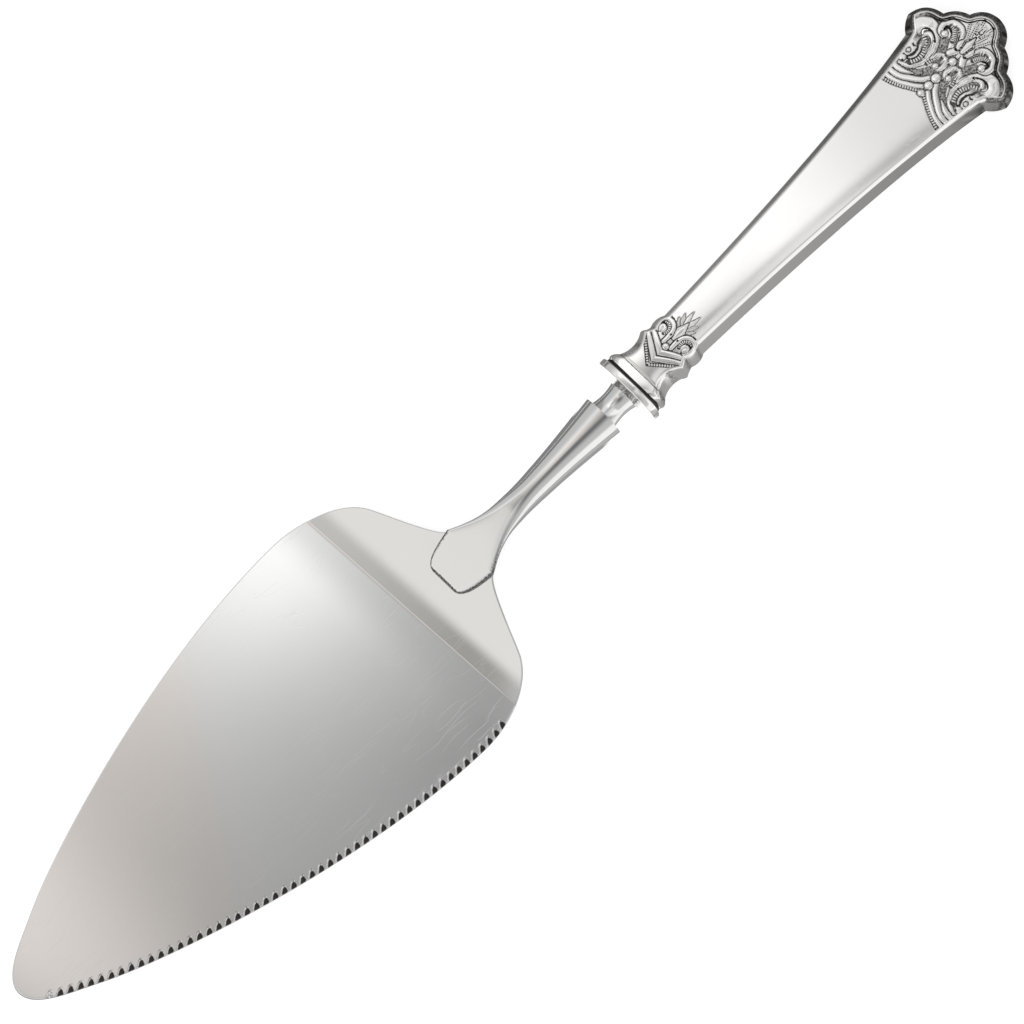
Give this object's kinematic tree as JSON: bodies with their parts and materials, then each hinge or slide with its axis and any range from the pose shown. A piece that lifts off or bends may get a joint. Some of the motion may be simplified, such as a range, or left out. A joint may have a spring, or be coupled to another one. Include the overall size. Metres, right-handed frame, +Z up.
{
  "type": "cake and pie server",
  "caption": "Table server with a wide pointed blade, serrated along one side and bent at the heel, on a slim shank with a collar and a stamped hollow handle with scrolled ends.",
  "frame": {"origin": "centre of the bounding box in plan, on the surface that the server lies on", "axes": "+X from the tip of the blade towards the end of the handle, +Z up from the table, and the serrated edge on the -Y side"},
  "size_m": [0.2594, 0.0556, 0.0161],
  "materials": {
    "blade_steel": "polished stainless steel with fine scratches from use",
    "shank_steel": "bright polished stainless steel",
    "silver": "polished silver, darker in the grooves of the ornament",
    "cement": "matt, hidden inside the handle"
  },
  "bodies": {
    "root": {"blade": "blade_steel", "shank": "shank_steel", "collar": "silver", "handle_front_shell": "silver", "handle_back_shell": "silver", "handle_filler": "cement"}
  },
  "joints": []
}
